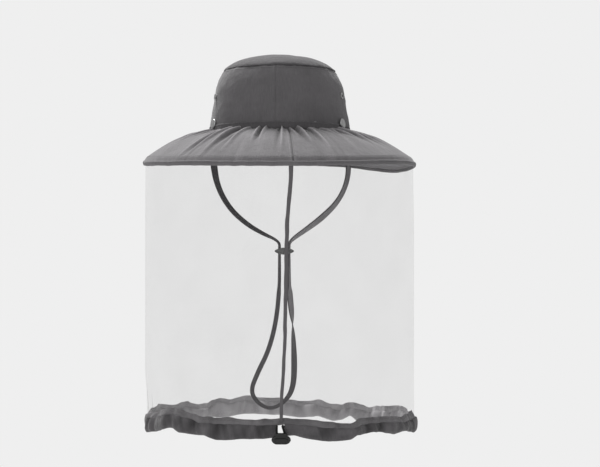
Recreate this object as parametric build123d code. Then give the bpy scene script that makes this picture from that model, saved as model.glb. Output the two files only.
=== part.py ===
from build123d import *
import math
import os

# Beekeeping hat with a net veil, millimetres.
# The origin is the centre of the head opening, on the plane of the crown's lower edge.
# +Z is up, the face looks along -Y, and +X is on the right for someone who faces the hat.

# ---- plan shape: two half-rounds whose centres lie HALF_FLAT in front of and behind the origin
HALF_FLAT = 7.0

# ---- fabric and gaps
PANEL = 1.2
LINING = 0.8
SEWN_GAP = 0.3

# ---- crown
CROWN_RADIUS = 91.0
WALL_TOP = 52.0
WALL_INSET = 7.3
SHOULDER_RADIUS = 61.8
SHOULDER_TURN = 28.3
FRONT_SEAM_X = -5.5
DOME_EDGE = (72.0, 81.6)
DOME_SHOULDER = (65.4, 87.0)
DOME_BREAK = (55.0, 92.4)
DOME_MIDDLE = (28.0, 97.9)
DOME_HEIGHT = 99.6
PIPING_CENTRE = (73.7, 81.3)
PIPING_RADIUS = 1.0
BASE_BAND_HEIGHT = 8.0
SWEATBAND_FOOT = 2.0
SWEATBAND_TOP = 30.0
SIDE_TAPE_FOOT = 33.0
SIDE_TAPE_HALF_WIDTH = 6.5

# ---- small hardware on the crown; azimuths run from the front towards +X
EYELET_AZIMUTHS = (69.0, -75.0)
EYELET_HEIGHT = 46.0
EYELET_FLANGE_RADIUS = 4.2
EYELET_BARREL_RADIUS = 2.7
EYELET_HOLE_RADIUS = 2.1
STUD_AZIMUTHS = (60.6, -66.4)
STUD_HEIGHT = 9.5
STUD_CAP_RADIUS = 6.2
STUD_POST_RADIUS = 1.7

# ---- brim
BRIM_ROOT = (90.0, -0.4)
BRIM_MIDDLE = (131.0, -8.6)
BRIM_RIM = (174.9, -32.9)
BRIM_TILT = 12.0
# Waves of the rim: plan angle from +X towards the front, half width in degrees, depth.
RIM_WAVES = [(35, 22, -4.0), (332, 28, 9.0)]
DROOP_POWER = 1.3
SECTION_STEP = 15
WIRE_STEP = 3
LINING_DROP = 1.4
RIM_OUTER = 175.1
RIM_INNER = 172.5
RIM_LEG = 0.4
RIM_TOP = -35.5
RIM_BOTTOM = -39.5
WIRE_RADIUS = 0.5
WIRE_LINE = (173.8, -38.1)
SLEEVE_RADIUS = 0.85
SLEEVE_BORE = 0.65
SLEEVE_ARC = 3.4

# ---- net and its front seam tape
NET_RADIUS = 172.2
NET_THICKNESS = 0.6
NET_TOP = -37.0
HEM_TOP = -355.0
TAPE_TOP = (14.0, -52.4)
TAPE_FOOT_X = 2.0
TAPE_TOP_WIDTH = 5.0
TAPE_FOOT_WIDTH = 3.6
TAPE_Y = (-180.3, -179.5)

# ---- gathered hem, its drawcord and the cord lock
HEM_BOTTOM = -382.0
HEM_OUTER = 175.0
HEM_INNER = 168.8
NOTCH_X = (-12.0, 15.5)
NOTCH_TOP = -357.5
CORD_RADIUS = 1.0
CORD_RING = (171.9, -364.0)
CORD_LEAVES_X = 24.0
CORD_LEAD = 10.0
LOCK_X = 2.0
STRAND_SPACING = 10.0
LOCK_BACK = -182.6
LOCK_DEPTH = 11.0
LOCK_TOP = -366.5
LOCK_BOTTOM = -379.2
LOCK_WIDTH = 22.7
NECK_WIDTH = 13.2
NECK_HEIGHT = 4.6
PLUNGER_WIDTH = 14.4
PLUNGER_HEIGHT = 3.2
PLUNGER_Z = -374.0
PLUNGER_GAP = 0.2
PLUNGER_BACK = 3.2
PLUNGER_PROUD = 2.4
PLUNGER_TRAVEL = 2.0
POCKET_FLOOR = 1.2
STRAND_DEPTH = 6.0
STRAND_HOLE_RADIUS = 1.5
BEAD_RADIUS = 2.1
BEAD_HEIGHT = 2.0
BEAD_RECESS = 2.6
SPRING_RADIUS = 1.25
SPRING_WIRE = 0.2
SPRING_RECESS = 2.5

# ---- chin tape and its slider
TAPE_RADIUS = 1.8
SLIDER_X = 6.0
SLIDER_Y = -58.0
SLIDER_Z = -151.5
SLIDER_WIDTH = 24.0
SLIDER_HEIGHT = 8.7
SLIDER_DEPTH = 10.0
SLIDER_HOLE_RADIUS = 2.6
TAPE_SPACING = 12.0
TIGHT_BEND = 12.0
TAB_SIZE = (4.2, 13.0, 10.5)
TAB_CENTRE = (86.6, -12.0, -3.75)
TAB_FOOT = TAB_CENTRE[2] - TAB_SIZE[2] / 2

# The chin tape's route: down the left cheek, through the slider, round the hanging loop,
# back up through the slider and up the right cheek.
CHIN_LEFT = [
    (-86.6, -12, TAB_FOOT),
    (-89.5, -14, -38),
    (-82, -19, -68),
    (-64, -29, -96),
    (-42, -41, -117),
    (-21, -50, -130),
]
CHIN_LOOP = [
    (0, SLIDER_Y, -139.5),
    (0, SLIDER_Y, -196),
    (-4, -59, -240),
    (-13, -61, -276),
    (-27, -62, -303),
    (-37, -62, -327),
    (-27, -62, -345),
    (-10, -62, -353),
    (7, -61, -342),
    (17.5, -60, -323),
    (19, -59, -290),
    (16, -58.5, -242),
    (12, SLIDER_Y, -196),
    (12, SLIDER_Y, -139.5),
]
CHIN_RIGHT = [
    (31, -49, -126),
    (53, -40, -110),
    (74, -29, -89),
    (86, -20, -64),
    (89, -14, -38),
    (86.6, -12, TAB_FOOT),
]


# ---------------------------------------------------------------- shared shapes


def outline(*edges):
    """A closed face in the XZ plane, where X is the distance from a half-round's axis."""
    return Plane.XZ * make_face(Curve() + list(edges))


def polygon(*points):
    return Plane.XZ * make_face(Polyline(*points, close=True))


def around(profile):
    """Carries a profile round the whole plan: back half, front half and the two flanks."""
    back = Pos(0, HALF_FLAT, 0) * revolve(profile, Axis.Z, 180)
    front = mirror(back, Plane.XZ)
    flank = extrude(profile, amount=HALF_FLAT, both=True)
    return back + front + flank + mirror(flank, Plane.YZ)


def around_back(profile):
    """The same without the front half."""
    back = Pos(0, HALF_FLAT, 0) * revolve(profile, Axis.Z, 180)
    flank = extrude(profile, amount=HALF_FLAT, both=True)
    return back + flank + mirror(flank, Plane.YZ)


def droop(angle, radius):
    """How far the brim hangs below its level shape at a plan angle from +X towards the front.

    The brim tips forwards, and its wired rim waves a little on the right.
    """
    fall = BRIM_TILT * math.sin(math.radians(angle))
    for middle, width, depth in RIM_WAVES:
        away = (angle - middle + 180) % 360 - 180
        fall += depth * math.exp(-((away / width) ** 2))
    share = max(radius - BRIM_ROOT[0], 0) / (BRIM_RIM[0] - BRIM_ROOT[0])
    return fall * share**DROOP_POWER


def section_plane(angle, middle):
    """The upright plane at a plan angle through a half-round's axis, its x pointing outwards."""
    turn = math.radians(angle)
    outwards = (math.cos(turn), -math.sin(turn), 0)
    normal = (-math.sin(turn), -math.cos(turn), 0)
    return Plane(origin=(0, middle, 0), x_dir=outwards, z_dir=normal)


def drooping(section, step=SECTION_STEP, ruled=False):
    """A ring that waves with the rim: section(angle) is its closed wire at each plan angle."""
    halves = []
    for start, middle in ((0, -HALF_FLAT), (180, HALF_FLAT)):
        angles = range(start, start + 181, step)
        sections = [section_plane(a, middle) * section(a) for a in angles]
        halves.append(Solid.make_loft(sections, ruled))
    right, left = (Plane.XZ * make_face(section(a).edges()) for a in (0, 180))
    flank = extrude(right, amount=HALF_FLAT, both=True)
    other = mirror(extrude(left, amount=HALF_FLAT, both=True), Plane.YZ)
    return halves[0] + halves[1] + flank + other


def crown_wall(inset):
    """The crown side's line and shoulder arc, moved inwards by inset: (edges, foot, end)."""
    slope = math.atan2(WALL_INSET, WALL_TOP)
    out = Vector(math.cos(slope), math.sin(slope))
    centre = Vector(CROWN_RADIUS - WALL_INSET, WALL_TOP) - out * SHOULDER_RADIUS
    radius = SHOULDER_RADIUS - inset
    angles = [slope + math.radians(SHOULDER_TURN) * share for share in (0, 0.5, 1)]
    arc = [centre + Vector(math.cos(a), math.sin(a)) * radius for a in angles]
    foot = Vector(wall_radius(0) - inset / math.cos(slope), 0)
    return [Line(foot, arc[0]), ThreePointArc(*arc)], foot, arc[2]


def wall_radius(height):
    """The crown's outer radius on its straight part."""
    return CROWN_RADIUS - height * WALL_INSET / WALL_TOP


def wall_strip(low, high, near, far):
    """A strip along the straight wall, between two distances inside its outer face."""
    corners = [(low, near), (high, near), (high, far), (low, far)]
    return polygon(*[(wall_radius(z) - inset, z) for z, inset in corners])


def wall_plane(azimuth, height):
    """A plane on the crown's outer face whose z points straight out of the fabric."""
    turn = math.radians(azimuth)
    slope = math.atan2(WALL_INSET, WALL_TOP)
    out = Vector(math.sin(turn), -math.cos(turn), 0)
    origin = Vector(0, -HALF_FLAT, height) + out * wall_radius(height)
    return Plane(origin=origin, z_dir=out * math.cos(slope) + Vector(0, 0, math.sin(slope)))


def on_wall(azimuths, height, shape):
    """One copy of shape at each azimuth, standing on the crown's outer face."""
    return [wall_plane(a, height) * shape for a in azimuths]


def disc(radius, low, high):
    return Pos(0, 0, (low + high) / 2) * Cylinder(radius, high - low)


def without(solid, tools):
    for tool in tools:
        solid = solid - tool
    return solid


# ---------------------------------------------------------------- crown


def wall_holes():
    """The punched holes in the crown's layers for the eyelets and the studs."""
    eyelets = on_wall(EYELET_AZIMUTHS, EYELET_HEIGHT, disc(EYELET_BARREL_RADIUS + 0.2, -8, 4))
    studs = on_wall(STUD_AZIMUTHS, STUD_HEIGHT, disc(STUD_POST_RADIUS + 0.2, -8, 4))
    return eyelets + studs


def crown_sides():
    """The three side panels, cut at the side seams and at the front seam."""
    outer, outer_foot, outer_end = crown_wall(0)
    inner, inner_foot, inner_end = crown_wall(PANEL)
    wall = around(outline(*outer, Line(outer_end, inner_end), *inner, Line(inner_foot, outer_foot)))
    wall = without(wall, wall_holes())
    size = 400
    front = Pos(0, -size / 2, 0) * Box(size, size, size)
    back = Pos(0, size / 2, 0) * Box(size, size, size)
    left = Pos(FRONT_SEAM_X - size / 2, 0, 0) * Box(size, size, size)
    right = Pos(FRONT_SEAM_X + size / 2, 0, 0) * Box(size, size, size)
    return {
        "crown_front_left_panel": wall & front & left,
        "crown_front_right_panel": wall & front & right,
        "crown_back_panel": wall & back,
    }


def crown_top():
    def lowered(point):
        return (point[0], point[1] - PANEL)

    middle = (0, DOME_HEIGHT)
    inset_edge = (DOME_EDGE[0] - PANEL, DOME_EDGE[1] - 0.3)
    inset_shoulder = (DOME_SHOULDER[0] - 0.9, DOME_SHOULDER[1] - 0.9)
    return around(
        outline(
            ThreePointArc(DOME_EDGE, DOME_SHOULDER, DOME_BREAK),
            ThreePointArc(DOME_BREAK, DOME_MIDDLE, middle),
            Line(middle, lowered(middle)),
            ThreePointArc(lowered(middle), lowered(DOME_MIDDLE), lowered(DOME_BREAK)),
            ThreePointArc(lowered(DOME_BREAK), inset_shoulder, inset_edge),
            Line(inset_edge, DOME_EDGE),
        )
    )


def round_section(centre, radius):
    return Plane.XZ * Pos(centre[0], centre[1]) * Circle(radius)


def crown_bands():
    """Piping at the top seam, the outer base band, the sweatband and the seam tapes."""
    base = wall_strip(0.1, BASE_BAND_HEIGHT, -SEWN_GAP - LINING, -SEWN_GAP)
    inner = PANEL + SEWN_GAP
    sweat = wall_strip(SWEATBAND_FOOT, SWEATBAND_TOP, inner, inner + LINING)
    tape = extrude(
        wall_strip(SIDE_TAPE_FOOT, WALL_TOP, inner, inner + LINING),
        amount=SIDE_TAPE_HALF_WIDTH,
        both=True,
    )
    return {
        "crown_top_piping": around(round_section(PIPING_CENTRE, PIPING_RADIUS)),
        "crown_base_band": without(around(base), wall_holes()),
        "sweatband": without(around(sweat), wall_holes()),
        "side_seam_tapes": [tape, mirror(tape, Plane.YZ)],
    }


def crown_hardware():
    """Vent eyelets with their washers, and press studs with their backs."""
    barrel = disc(EYELET_BARREL_RADIUS, -2.6, 0.6) + disc(EYELET_FLANGE_RADIUS, 0.15, 1.0)
    eyelet = fillet(barrel.edges().group_by(Axis.Z)[-1], 0.4)
    eyelet = eyelet - disc(EYELET_HOLE_RADIUS, -3, 2)
    washer = disc(EYELET_FLANGE_RADIUS, -2.2, -1.5) - disc(EYELET_BARREL_RADIUS + 0.05, -3, 0)
    cap = disc(STUD_CAP_RADIUS, 1.3, 3.2)
    cap = fillet(cap.edges().group_by(Axis.Z)[-1], 1.4)
    stud = cap + disc(STUD_POST_RADIUS, -4.2, 1.5)
    layers = PANEL + 2 * SEWN_GAP + LINING
    back = disc(STUD_CAP_RADIUS - 1, -layers - 1.1, -layers) - disc(STUD_POST_RADIUS + 0.05, -6, 0)
    return {
        "vent_eyelets": on_wall(EYELET_AZIMUTHS, EYELET_HEIGHT, eyelet),
        "vent_eyelet_washers": on_wall(EYELET_AZIMUTHS, EYELET_HEIGHT, washer),
        "press_stud_caps": on_wall(STUD_AZIMUTHS, STUD_HEIGHT, stud),
        "press_stud_backs": on_wall(STUD_AZIMUTHS, STUD_HEIGHT, back),
    }


# ---------------------------------------------------------------- brim


def brim_layer(drop, thickness):
    """A brim cloth: the rounded slope of the brim, lowered by drop."""

    def edges(angle):
        def at(point, lower):
            return (point[0], point[1] - lower - droop(angle, point[0]))

        top = [at(p, drop) for p in (BRIM_ROOT, BRIM_MIDDLE, BRIM_RIM)]
        foot = [at(p, drop + thickness) for p in (BRIM_RIM, BRIM_MIDDLE, BRIM_ROOT)]
        return [ThreePointArc(*top), Line(top[2], foot[0]), ThreePointArc(*foot), Line(foot[2], top[0])]

    return drooping(lambda angle: Wire(edges(angle)))


def rim_binding():
    """The rim's folded tape, a channel open at the top that holds the brim wire."""

    def corners(angle):
        fall = droop(angle, BRIM_RIM[0])
        top, floor, foot = RIM_TOP - fall, RIM_BOTTOM + RIM_LEG - fall, RIM_BOTTOM - fall
        inner, outer = RIM_INNER + RIM_LEG, RIM_OUTER - RIM_LEG
        return [
            (RIM_INNER, top),
            (inner, top),
            (inner, floor),
            (outer, floor),
            (outer, top),
            (RIM_OUTER, top),
            (RIM_OUTER, foot),
            (RIM_INNER, foot),
        ]

    return drooping(lambda angle: Wire(Polyline(*corners(angle), close=True)))


def brim_wire():
    def ring(angle):
        centre = (WIRE_LINE[0], WIRE_LINE[1] - droop(angle, BRIM_RIM[0]))
        return Pos(*centre) * Wire(Edge.make_circle(WIRE_RADIUS))

    return drooping(ring, WIRE_STEP, ruled=True)


def wire_sleeve():
    """The crimped tube that joins the wire's two ends at the back."""
    centre = (WIRE_LINE[0], WIRE_LINE[1] - droop(270, BRIM_RIM[0]))
    ring = round_section(centre, SLEEVE_RADIUS) - round_section(centre, SLEEVE_BORE)
    start = Rot(0, 0, 90 - SLEEVE_ARC / 2) * ring
    return Pos(0, HALF_FLAT, 0) * revolve(start, Axis.Z, SLEEVE_ARC)


# ---------------------------------------------------------------- veil


def net_veil():
    """The net: a tube whose top edge follows the rim, inside the binding."""
    inner = NET_RADIUS - NET_THICKNESS
    foot = HEM_TOP + SEWN_GAP

    def strip(angle):
        top = NET_TOP - droop(angle, BRIM_RIM[0])
        corners = [(inner, foot), (NET_RADIUS, foot), (NET_RADIUS, top), (inner, top)]
        return Wire(Polyline(*corners, close=True))

    return drooping(strip)


def front_seam_tape():
    foot = HEM_TOP + SEWN_GAP
    x, top = TAPE_TOP
    shape = Polyline(
        (x - TAPE_TOP_WIDTH / 2, top),
        (x + TAPE_TOP_WIDTH / 2, top),
        (TAPE_FOOT_X + TAPE_FOOT_WIDTH / 2, foot),
        (TAPE_FOOT_X - TAPE_FOOT_WIDTH / 2, foot),
        close=True,
    )
    plane = Plane(origin=(0, TAPE_Y[1], 0), x_dir=(1, 0, 0), z_dir=(0, -1, 0))
    return extrude(plane * make_face(shape), amount=TAPE_Y[1] - TAPE_Y[0])


def hem_casing():
    """The gathered tunnel at the foot of the net, open at the front for the drawcord."""
    outer = polygon(
        (HEM_INNER, HEM_BOTTOM), (HEM_OUTER, HEM_BOTTOM), (HEM_OUTER, HEM_TOP), (HEM_INNER, HEM_TOP)
    )
    low, high = HEM_BOTTOM + PANEL, HEM_TOP - PANEL
    near, far = HEM_INNER + PANEL, HEM_OUTER - PANEL
    tunnel = polygon((near, low), (far, low), (far, high), (near, high))
    left, right = NOTCH_X
    height = NOTCH_TOP - HEM_BOTTOM + 2
    front_y = -HALF_FLAT - (HEM_INNER + HEM_OUTER) / 2
    notch = Pos((left + right) / 2, front_y, NOTCH_TOP - height / 2) * Box(right - left, 12, height)
    return around(outer - tunnel) - notch


def filleted_route(points, tight=()):
    """Straight runs joined by arcs as large as the runs allow: (path, radii)."""
    places = [Vector(p) for p in points]
    radii = []
    for index in range(1, len(places) - 1):
        before = places[index] - places[index - 1]
        after = places[index + 1] - places[index]
        half_turn = math.radians(before.get_angle(after)) / 2
        radius = 0.45 * min(before.length, after.length) / math.tan(half_turn)
        radii.append(min(radius, TIGHT_BEND) if index in tight else radius)
    return FilletPolyline(*places, radius=radii), radii


def tube(path, radius):
    start = Plane(origin=path @ 0, z_dir=path % 0)
    return sweep(start * Circle(radius), path=path)


def strand_x(side):
    return LOCK_X + side * STRAND_SPACING / 2


STRAND_Y = LOCK_BACK - STRAND_DEPTH
BEAD_TOP = LOCK_BOTTOM + BEAD_RECESS - 0.3


def hem_drawcord():
    """The drawcord: a ring in the tunnel whose two ends pass over and down into the lock."""
    radius, height = CORD_RING
    section = round_section(CORD_RING, CORD_RADIUS)
    ends_at = math.asin(CORD_LEAVES_X / radius)
    arc = Pos(0, -HALF_FLAT, 0) * revolve(section, Axis.Z, math.degrees(ends_at) - 90)
    pieces = [around_back(section) + arc + mirror(arc, Plane.YZ)]
    front_y = -HALF_FLAT - radius
    for side in (-1, 1):
        x = strand_x(side)
        start = Vector(side * CORD_LEAVES_X, -HALF_FLAT - radius * math.cos(ends_at), height)
        along = Vector(-side * math.cos(ends_at), -math.sin(ends_at), 0)
        path, radii = filleted_route(
            [
                start,
                start + along * CORD_LEAD,
                (x + side * 2, front_y - 2.8, height + 3.4),
                (x, STRAND_Y + 2.8, height + 6.0),
                (x, STRAND_Y, height + 3.6),
                (x, STRAND_Y, BEAD_TOP),
            ]
        )
        print("drawcord end: length", round(path.length, 1), "radii", [round(r, 1) for r in radii])
        pieces.append(tube(path, CORD_RADIUS))
    return pieces


def lock_side(x, z):
    return (LOCK_X + x, z)


def lock_body():
    """A bell-shaped housing: a neck that the strands enter, over a wider rounded bowl."""
    half, neck = LOCK_WIDTH / 2, NECK_WIDTH / 2
    shoulder = LOCK_TOP - NECK_HEIGHT
    widest = shoulder - 3.2
    shape = outline(
        Line(lock_side(-neck, LOCK_TOP), lock_side(neck, LOCK_TOP)),
        Line(lock_side(neck, LOCK_TOP), lock_side(neck + 0.6, shoulder + 1)),
        ThreePointArc(
            lock_side(neck + 0.6, shoulder + 1),
            lock_side(half - 1.2, shoulder - 0.6),
            lock_side(half, widest),
        ),
        ThreePointArc(
            lock_side(half, widest),
            lock_side(half * 0.8, widest - 3.4),
            lock_side(half * 0.42, LOCK_BOTTOM),
        ),
        Line(lock_side(half * 0.42, LOCK_BOTTOM), lock_side(-half * 0.42, LOCK_BOTTOM)),
        ThreePointArc(
            lock_side(-half * 0.42, LOCK_BOTTOM),
            lock_side(-half * 0.8, widest - 3.4),
            lock_side(-half, widest),
        ),
        ThreePointArc(
            lock_side(-half, widest),
            lock_side(1.2 - half, shoulder - 0.6),
            lock_side(-neck - 0.6, shoulder + 1),
        ),
        Line(lock_side(-neck - 0.6, shoulder + 1), lock_side(-neck, LOCK_TOP)),
    )
    body = Pos(0, LOCK_BACK, 0) * extrude(shape, amount=LOCK_DEPTH)
    front_and_back = body.faces().sort_by(Axis.Y)
    rims = front_and_back[0].edges() + front_and_back[-1].edges()
    body = fillet(rims, 0.8)
    pocket_depth = LOCK_DEPTH - POCKET_FLOOR
    body = body - slab(PLUNGER_WIDTH, PLUNGER_HEIGHT, PLUNGER_GAP, POCKET_FLOOR, pocket_depth + 1)
    for side in (-1, 1):
        hole = Pos(strand_x(side), STRAND_Y + 0.3, (LOCK_TOP + LOCK_BOTTOM) / 2)
        body = body - hole * Cylinder(STRAND_HOLE_RADIUS, LOCK_TOP - LOCK_BOTTOM + 2)
        recess = Pos(strand_x(side), STRAND_Y, LOCK_BOTTOM + BEAD_RECESS / 2 - 1)
        body = body - recess * Cylinder(BEAD_RADIUS + 0.3, BEAD_RECESS + 2)
    return body


def slab(width, height, gap, start, length):
    """An oval bar along Y inside the lock, start being its distance from the lock's back."""
    oval = SlotOverall(width + 2 * gap, height + 2 * gap)
    plane = Plane(origin=(LOCK_X, LOCK_BACK - start, PLUNGER_Z), x_dir=(1, 0, 0), z_dir=(0, -1, 0))
    return extrude(plane * oval, amount=length)


def lock_button():
    """The sprung plunger: its slots pinch both strands until it is pressed in."""
    length = LOCK_DEPTH + PLUNGER_PROUD - PLUNGER_BACK
    plunger = slab(PLUNGER_WIDTH, PLUNGER_HEIGHT, 0, PLUNGER_BACK, length)
    plunger = fillet(plunger.faces().sort_by(Axis.Y)[0].edges(), 0.5)
    rear = STRAND_DEPTH - CORD_RADIUS - 0.1
    front = STRAND_DEPTH + CORD_RADIUS + PLUNGER_TRAVEL + 0.2
    middle = LOCK_BACK - (rear + front) / 2
    for side in (-1, 1):
        slot = Pos(strand_x(side), middle, PLUNGER_Z) * Box(3.0, front - rear, PLUNGER_HEIGHT + 1)
        plunger = plunger - slot
    seat = Plane(origin=(LOCK_X, LOCK_BACK - PLUNGER_BACK + 1, PLUNGER_Z), z_dir=(0, -1, 0))
    return plunger - seat * disc(SPRING_RADIUS + 0.25, 0, SPRING_RECESS + 1)


def lock_spring():
    """A short compression spring between the housing's back wall and the plunger."""
    start = POCKET_FLOOR + SPRING_WIRE + 0.05
    length = PLUNGER_BACK + SPRING_RECESS - POCKET_FLOOR - 2 * SPRING_WIRE - 0.1
    coil = Helix(pitch=length / 4, height=length, radius=SPRING_RADIUS - SPRING_WIRE)
    section = Plane(origin=coil @ 0, z_dir=coil % 0) * Circle(SPRING_WIRE)
    wire = sweep(section, path=coil, is_frenet=True)
    place = Plane(origin=(LOCK_X, LOCK_BACK - start, PLUNGER_Z), z_dir=(0, -1, 0))
    return place * wire


def drawcord_end_beads():
    bead = Pos(0, 0, BEAD_TOP - BEAD_HEIGHT / 2) * Cylinder(BEAD_RADIUS, BEAD_HEIGHT)
    bead = fillet(bead.edges(), 0.6)
    return [Pos(strand_x(side), STRAND_Y, 0) * bead for side in (-1, 1)]


# ---------------------------------------------------------------- chin tape


def chin_tape():
    points = CHIN_LEFT + CHIN_LOOP + CHIN_RIGHT
    enters = len(CHIN_LEFT)
    leaves = enters + len(CHIN_LOOP) - 1
    path, radii = filleted_route(points, tight=(enters, leaves))
    solid = tube(path, TAPE_RADIUS)
    expected = math.pi * TAPE_RADIUS**2 * path.length
    print("chin tape: length", round(path.length, 1), "radii", [round(r) for r in radii])
    print("chin tape: volume", round(solid.volume), "section times length", round(expected))
    return solid


def chin_slider():
    """An oval bead with two upright holes."""
    half, rise = SLIDER_WIDTH / 2, SLIDER_HEIGHT / 2
    tip = 0.8
    shape = outline(
        ThreePointArc((-half, tip), (0, rise), (half, tip)),
        ThreePointArc((half, tip), (half + 0.01, 0), (half, -tip)),
        ThreePointArc((half, -tip), (0, -rise), (-half, -tip)),
        ThreePointArc((-half, -tip), (-half - 0.01, 0), (-half, tip)),
    )
    bead = extrude(shape, amount=SLIDER_DEPTH / 2, both=True)
    faces = bead.faces().sort_by(Axis.Y)
    bead = fillet([e for f in (faces[0], faces[-1]) for e in f.edges()], 0.7)
    for side in (-1, 1):
        hole = Pos(side * TAPE_SPACING / 2, 0, 0)
        bead = bead - hole * Cylinder(SLIDER_HOLE_RADIUS, SLIDER_HEIGHT + 2)
    return Pos(SLIDER_X, SLIDER_Y, SLIDER_Z) * bead


def anchor_tab():
    tab = Pos(*TAB_CENTRE) * Box(*TAB_SIZE)
    return fillet(tab.edges().filter_by(Axis.Z), 0.5)


# ---------------------------------------------------------------- all sub-parts


def write(name, shape):
    pieces = shape if isinstance(shape, list) else [shape]
    solids = [solid for piece in pieces for solid in piece.solids()]
    export_step(Compound(children=solids, label=name), f"parts/{name}.step")


def main():
    os.makedirs("parts", exist_ok=True)
    tab = anchor_tab()
    parts = {
        **crown_sides(),
        "crown_top_panel": crown_top(),
        **crown_bands(),
        **crown_hardware(),
        "brim_top_cover": brim_layer(0, PANEL),
        "brim_under_lining": brim_layer(LINING_DROP, LINING),
        "rim_binding": rim_binding(),
        "brim_wire": brim_wire(),
        "brim_wire_sleeve": wire_sleeve(),
        "net_veil": net_veil(),
        "front_seam_tape": front_seam_tape(),
        "hem_casing": hem_casing(),
        "hem_drawcord": hem_drawcord(),
        "drawcord_end_beads": drawcord_end_beads(),
        "lock_body": lock_body(),
        "lock_button": lock_button(),
        "lock_spring": lock_spring(),
        "chin_tape": chin_tape(),
        "chin_slider": chin_slider(),
        "chin_anchor_tab_right": tab,
        "chin_anchor_tab_left": mirror(tab, Plane.YZ),
    }
    for name, shape in parts.items():
        write(name, shape)


main()
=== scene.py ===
"""A beekeeping veil: a cotton sun hat with a gathered, wired brim, a clear net veil hanging from its
rim to a drawcord hem, and a chin tape with an oval slider. Lengths in the helpers are millimetres."""
import math

import bpy
import numpy as np
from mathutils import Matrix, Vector


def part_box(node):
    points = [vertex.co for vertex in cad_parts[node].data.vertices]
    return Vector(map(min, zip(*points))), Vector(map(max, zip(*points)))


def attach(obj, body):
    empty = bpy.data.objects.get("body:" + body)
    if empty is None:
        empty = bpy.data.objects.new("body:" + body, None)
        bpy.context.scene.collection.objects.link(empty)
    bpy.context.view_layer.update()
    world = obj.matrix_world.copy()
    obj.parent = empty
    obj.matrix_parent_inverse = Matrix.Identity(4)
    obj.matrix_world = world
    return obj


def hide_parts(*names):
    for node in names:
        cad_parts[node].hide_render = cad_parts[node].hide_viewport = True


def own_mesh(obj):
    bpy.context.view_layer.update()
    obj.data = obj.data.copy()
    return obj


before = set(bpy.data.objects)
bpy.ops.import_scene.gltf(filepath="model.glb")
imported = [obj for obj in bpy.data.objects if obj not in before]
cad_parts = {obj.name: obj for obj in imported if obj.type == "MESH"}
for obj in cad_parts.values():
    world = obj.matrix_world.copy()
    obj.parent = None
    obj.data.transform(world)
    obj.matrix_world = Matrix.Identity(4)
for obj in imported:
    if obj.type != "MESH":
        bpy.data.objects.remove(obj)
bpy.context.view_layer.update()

MM = 0.001
TURN = 2 * math.pi
HALF_FLAT = 7.0  # the plan is two half-rounds, each this far from the middle
CROWN_SIDE = 82.6  # up the crown's cloth from its foot to the top seam
DOME_EDGE = 71.9
BAND_RADIUS = 91.0
BAND_LEAN = 0.14  # how far in the base band leans for each millimetre up
BRIM_ROOT = 90.0
BRIM_REACH = 84.9
RIM = BRIM_ROOT + BRIM_REACH
NET_RADIUS = 172.0
NET_ANCHOR = -54.5
NET_FOOT = -355.0
TAB_X = 86.6
# Whether a grid joins up with itself along its first and its second direction.
ROUND = (True, False)
TUBE = (True, True)

# ==== camera

lens = bpy.data.cameras.new("camera")
lens.lens = 97.65
lens.sensor_width = 36
camera = bpy.data.objects.new("camera", lens)
camera.location = (0, -2.1, -0.177)
looks = Vector((math.tan(math.radians(0.7217)), 1, math.tan(math.radians(1.337))))
camera.rotation_euler = looks.to_track_quat("-Z", "Y").to_euler()
bpy.context.collection.objects.link(camera)
bpy.context.scene.camera = camera


# ==== numbers that vary smoothly


def smooth(share):
    share = np.clip(share, 0, 1)
    return share * share * (3 - 2 * share)


def noise(u, v, cells_u, cells_v, seed):
    """Soft noise from -1 to 1. u and v run from 0 to 1, and u joins up with itself."""
    values = np.random.default_rng(seed).uniform(-1, 1, (cells_u, cells_v + 2))
    a, b = (np.asarray(u, float) % 1) * cells_u, np.clip(v, 0, 1) * cells_v
    a, b = np.broadcast_arrays(a, b)
    i, j = a.astype(int) % cells_u, b.astype(int)
    fa, fb = smooth(a - np.floor(a)), smooth(b - np.floor(b))
    k = (i + 1) % cells_u
    low = values[i, j] * (1 - fa) + values[k, j] * fa
    high = values[i, j + 1] * (1 - fa) + values[k, j + 1] * fa
    return low * (1 - fb) + high * fb


def kinks(u, count, seed, ease=0.35):
    """A creased line from -1 to 1 that joins up: straight runs between uneven corners."""
    chance = np.random.default_rng(seed)
    at = (np.arange(count) + chance.uniform(0.1, 0.9, count)) / count
    value = chance.uniform(-1, 1, count)
    at = np.concatenate([at - 1, at, at + 1])
    value = np.tile(value, 3)
    u = np.asarray(u, float) % 1
    step = ease / count / 2
    return sum(np.interp(u + d * step, at, value) for d in (-1, -0.5, 0, 0.5, 1)) / 5


def bump_at(distance, width):
    return np.exp(-((distance / width) ** 2))


def eased(share, knots):
    """A smooth line through knots evenly spaced from 0 to 1."""
    knots = np.asarray(knots, float)
    last = len(knots) - 1
    at = np.clip(share, 0, 1) * last
    i = np.clip(at.astype(int), 0, last - 1)
    t = at - i
    padded = np.concatenate([[2 * knots[0] - knots[1]], knots, [2 * knots[-1] - knots[-2]]])
    a, b, c, d = (padded[i + k] for k in range(4))
    slope, bend, twist = (c - a) / 2, (2 * a - 5 * b + 4 * c - d) / 2, (3 * b - 3 * c + d - a) / 2
    return b + t * slope + t**2 * bend + t**3 * twist


def evened(values, count):
    """The running mean of an odd count of neighbours."""
    return np.convolve(np.pad(values, count // 2, mode="edge"), np.ones(count) / count, mode="valid")


def full_turn(count):
    """Even angles all the way round, without the first again at the end."""
    return np.arange(count) / count * TURN


# ==== the hat's plan and sections


def plan(angle, radius):
    """x and y of a point at a plan angle, which is 0 in front and grows towards +X."""
    c = np.cos(angle)
    return radius * np.sin(angle), -radius * c - HALF_FLAT * np.clip(c / 0.12, -1, 1)


def place_at(angle, radius, height):
    x, y = plan(angle, radius)
    return np.stack([x, y, height + 0 * x], -1)


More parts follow.
